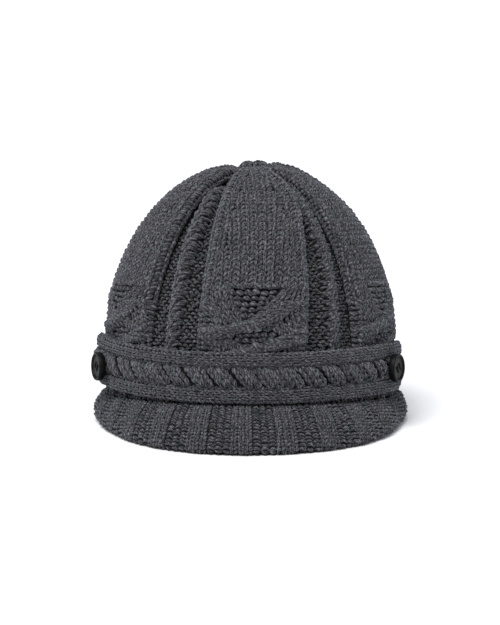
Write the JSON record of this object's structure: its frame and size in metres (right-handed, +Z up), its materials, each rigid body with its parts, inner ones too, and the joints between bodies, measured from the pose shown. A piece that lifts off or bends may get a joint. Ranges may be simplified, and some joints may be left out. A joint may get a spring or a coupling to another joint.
{
  "type": "cable knit peaked cap",
  "caption": "Thick cable knit cap with leaf panels drawn to a gathered top, a ribbed band, a short ribbed peak and a buttoned strap over the front.",
  "frame": {"origin": "centre of the cap's bounding box, on the surface it rests on", "axes": "+Z up, -Y the way the peak points, +X to the right as seen from the front"},
  "size_m": [0.2018, 0.2358, 0.1631],
  "materials": {
    "heather_knit": "thick two-ply wool and acrylic yarn in heathered charcoal, matt and slightly fuzzy",
    "button_plastic": "black moulded plastic with a soft gloss"
  },
  "bodies": {
    "root": {"crown": "heather_knit", "rib_band": "heather_knit", "peak": "heather_knit", "strap": "heather_knit", "button_left": "button_plastic", "button_right": "button_plastic"}
  },
  "joints": []
}
